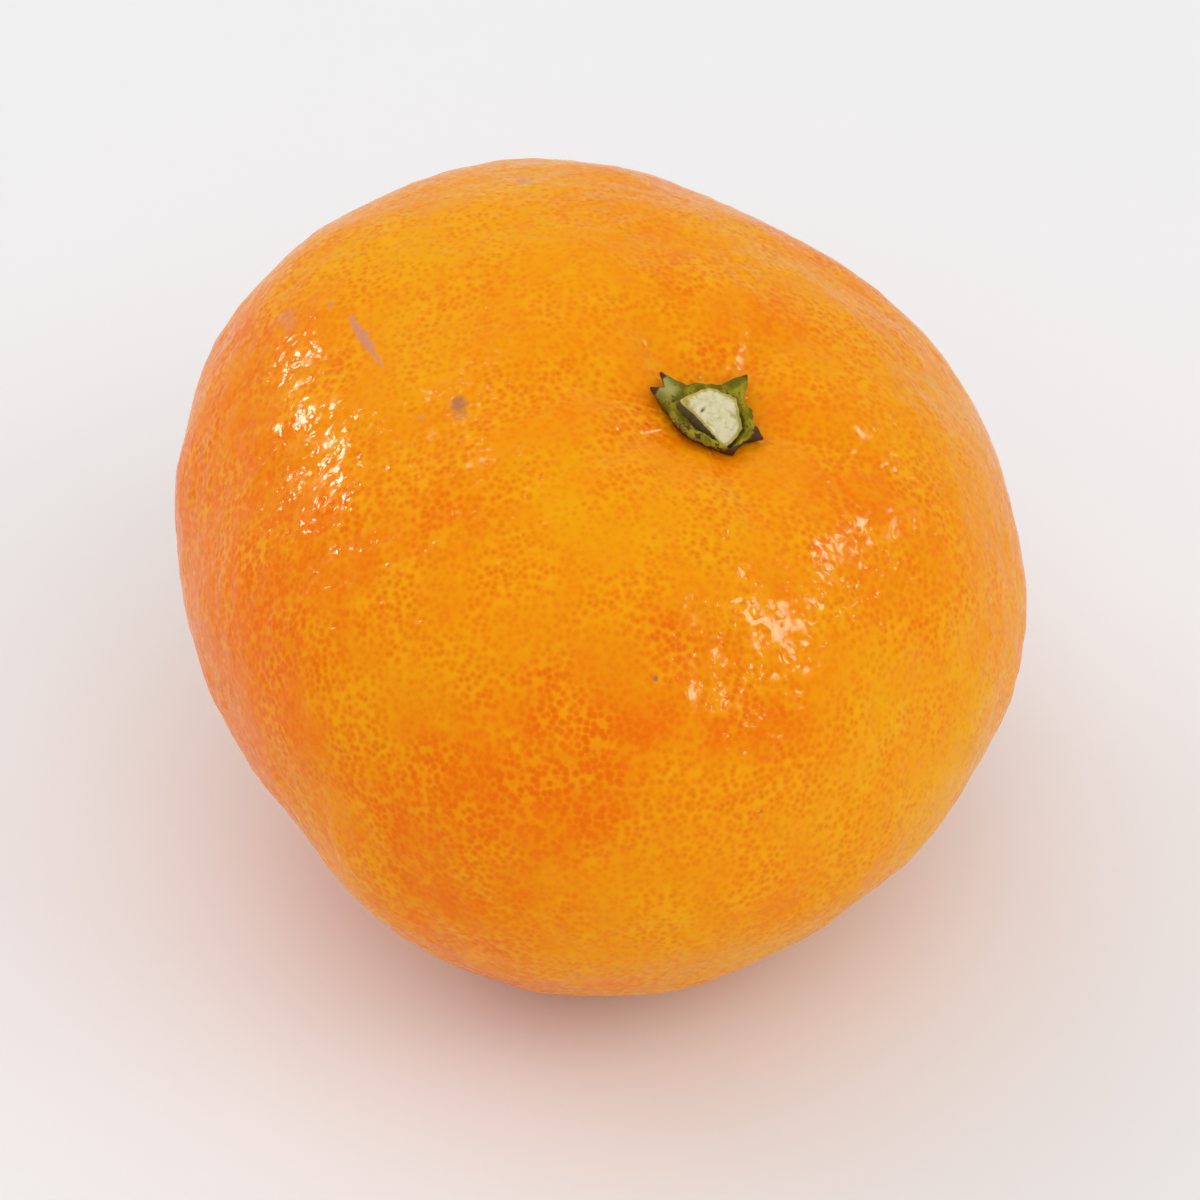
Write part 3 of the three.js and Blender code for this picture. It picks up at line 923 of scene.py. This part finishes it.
# The dry note also holds painted shade on the underside and along the worn side.
dryness_and_shade = calyx_finish.math("ADD", calyx_finish.attribute("dry_and_shade"), dry_speckle)
calyx_colour = calyx_finish.mix(calyx_finish.ramp(dryness_and_shade, 0.25, 0.7), green, DRY_BROWN_AND_SHADE)
calyx_finish.feed(calyx_finish.shader.inputs["Base Color"], calyx_colour)
calyx_finish.feed(calyx_finish.shader.inputs["Roughness"], calyx_finish.ramp(speckle, 0.3, 0.7, 0.42, 0.7))
calyx_finish.feed(calyx_finish.shader.inputs["Normal"], calyx_finish.bump(speckle, 0.12))
calyx.data.materials.append(calyx_finish.material)
print("nodes in the calyx's finish:", len(calyx_finish.tree.nodes))

# %% [markdown]
# ## The cut stalk's finish
#
# Fresh wood and pith, pale cream, blotched where the fibres are wetter, with
# a yellow-green ring under the bark. The side is brown bark. The notes on
# the mesh say where the ring and the bark begin, and noise frays them. The
# split is darkened nearly to black as painted shade.

# %% Make the stalk's finish
PITH = colour(0.68, 0.62, 0.38)
WET_PITH = colour(0.42, 0.36, 0.11)
EDGE_YELLOW = colour(0.50, 0.38, 0.08)
EDGE_GREEN = colour(0.36, 0.30, 0.06)
BARK = colour(0.12, 0.08, 0.035)
SPLIT_SHADE = colour(0.07, 0.055, 0.02)
FIBRE_PITCH = 0.909
PORE_PITCH = 0.222
stalk_finish = Finish("stalk_finish", Specular_IOR_Level=0.3, Subsurface_Weight=0.1, Subsurface_Scale=0.001)
own = stalk_finish.attribute("own_place", "Vector")
fibre = stalk_finish.noise(own, FIBRE_PITCH, detail=4.0, roughness=0.65)
pores = stalk_finish.cells(own, PORE_PITCH).outputs["Distance"]
cut_colour = stalk_finish.mix(stalk_finish.ramp(fibre, 0.46, 0.76), PITH, WET_PITH)
cut_colour = stalk_finish.mix(stalk_finish.ramp(pores, 0.1, 0.3, 0.3, 0.0), cut_colour, WET_PITH)
edge_colour = stalk_finish.mix(stalk_finish.ramp(fibre, 0.45, 0.6), EDGE_YELLOW, EDGE_GREEN)
edge_share = stalk_finish.ramp(fibre, 0.3, 0.7, -0.3, 0.2)
edge_share = stalk_finish.math("ADD", stalk_finish.attribute("edge"), edge_share)
cut_colour = stalk_finish.mix(stalk_finish.ramp(edge_share, 0.2, 0.9), cut_colour, edge_colour)
bark_share = stalk_finish.ramp(fibre, 0.3, 0.7, -0.15, 0.15)
bark_share = stalk_finish.math("ADD", stalk_finish.attribute("bark"), bark_share)
stalk_colour = stalk_finish.mix(stalk_finish.ramp(bark_share, 0.25, 0.75), cut_colour, BARK)
# Painted shade: nearly black down the split.
stalk_colour = stalk_finish.mix(stalk_finish.attribute("split"), stalk_colour, SPLIT_SHADE)
stalk_finish.feed(stalk_finish.shader.inputs["Base Color"], stalk_colour)
stalk_finish.feed(stalk_finish.shader.inputs["Roughness"], stalk_finish.ramp(fibre, 0.3, 0.7, 0.5, 0.8))
stalk_finish.feed(stalk_finish.shader.inputs["Normal"], stalk_finish.bump(fibre, 0.06))
stalk.data.materials.append(stalk_finish.material)
print("nodes in the stalk's finish:", len(stalk_finish.tree.nodes))

# %% [markdown]
# ## What each piece stands for
#
# Each fine piece rides on the fruit's one body and takes the place of its plain
# solid. The solids stay as they are.

# %% Ride and replace
STANDS_FOR = [(rind, "fruit", "rind"), (calyx, "calyx", "calyx"), (stalk, "stem_stub", "cut_stalk")]
for piece, node, slot in STANDS_FOR:
    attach(piece, "root")
    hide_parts(node)
    print(piece.name, "replaces", node, "and wears", slot)

# %% [markdown]
# ## Table, light and camera
#
# The fruit lies on a plain white table in a bright white room, which gives
# most of the light and hardly any shadow. Wide weak lights all round model
# the form a little. Small ones that show only in the gloss draw the broken
# highlights on the wax. The camera looks down at the fruit by about 40
# degrees through a long lens, as the photograph does.

# %% Table
TABLE_HALF = 3.0
TABLE_WHITE = colour(0.86, 0.865, 0.875)
table_points = np.array([[-1, -1, 0], [1, -1, 0], [1, 1, 0], [-1, 1, 0]]) * TABLE_HALF / MM
table = piece_from("table", table_points, [[0, 1, 2, 3]])
table_finish = Finish("table_finish", Roughness=0.55, Specular_IOR_Level=0.3)
table_finish.shader.inputs["Base Color"].default_value = TABLE_WHITE
table.data.materials.append(table_finish.material)

# %% Lights
LIT_POINT = Vector((0, 0, 0.03))
DAYLIGHT = (1.0, 0.985, 0.97)
WARM = (1.0, 0.86, 0.70)
ROOM_WHITE = colour(1.0, 0.995, 1.0)
ROOM_STRENGTH = 0.755
# Name, azimuth and elevation in degrees, distance, width and height in metres, and power in watts.
WIDE_LIGHTS = [
    ("back_light", 120, 46, 1.4, 0.7, 0.5, 1.0),
    ("front_light", -80, 52, 1.2, 0.8, 0.8, 2.1),
    ("left_light", 154, 35, 0.95, 0.5, 0.5, 1.1),
    ("right_light", -25, 40, 0.95, 0.5, 0.5, 1.1),
]
SPARKLES = [
    ("left_sparkle", 155, 26, 0.95, 0.12, 0.14, 7.0),
    ("right_sparkle", -25, 32, 0.95, 0.20, 0.13, 4.6),
    ("far_right_sparkle", 15, 32, 0.95, 0.17, 0.13, 3.9),
    ("top_sparkle", 135, 62, 1.2, 0.08, 0.08, 1.2),
]


def softbox(name, azimuth_degrees, elevation_degrees, distance, width, height, power, tint, sparkle=False):
    """A rectangular light facing the fruit. One for sparkle shows in the gloss only, any other never."""
    light = bpy.data.lights.new(name, "AREA")
    light.shape = "RECTANGLE"
    light.size = width
    light.size_y = height
    light.energy = power
    light.color = tint
    lamp = bpy.data.objects.new(name, light)
    a, e = azimuth_degrees * DEG, elevation_degrees * DEG
    way = Vector((math.cos(e) * math.cos(a), math.cos(e) * math.sin(a), math.sin(e)))
    lamp.location = LIT_POINT + distance * way
    lamp.rotation_euler = (-way).to_track_quat("-Z", "Y").to_euler()
    lamp.visible_camera = False
    lamp.visible_diffuse = not sparkle
    lamp.visible_glossy = sparkle
    bpy.context.scene.collection.objects.link(lamp)
    return lamp


for row in WIDE_LIGHTS:
    softbox(*row, DAYLIGHT)
for row in SPARKLES:
    softbox(*row, WARM, sparkle=True)
world = bpy.data.worlds.new("pale_room")
world.use_nodes = True
room = world.node_tree.nodes["Background"].inputs
room["Color"].default_value = ROOM_WHITE
room["Strength"].default_value = ROOM_STRENGTH
bpy.context.scene.world = world
print("lights:", len(WIDE_LIGHTS), "wide,", len(SPARKLES), "small")

# %% Camera
CAMERA_UP = 40.5 * DEG
CAMERA_AWAY = 0.6425
FRAME_AT_FRUIT = 0.094
SENSOR = 36.0
NEAREST_SEEN = 0.01
CAMERA_TARGET = (0.0006, 0.0, 0.0235)
target = Vector(CAMERA_TARGET)
lens = bpy.data.cameras.new("camera")
lens.sensor_width = SENSOR
lens.lens = SENSOR * CAMERA_AWAY / FRAME_AT_FRUIT
lens.clip_start = NEAREST_SEEN
camera = bpy.data.objects.new("camera", lens)
camera.location = target + CAMERA_AWAY * Vector((0, -math.cos(CAMERA_UP), math.sin(CAMERA_UP)))
camera.rotation_euler = (target - camera.location).to_track_quat("-Z", "Y").to_euler()
bpy.context.scene.collection.objects.link(camera)
bpy.context.scene.camera = camera
bpy.context.scene.view_settings.view_transform = "Standard"
print("lens, mm:", round(lens.lens, 1))
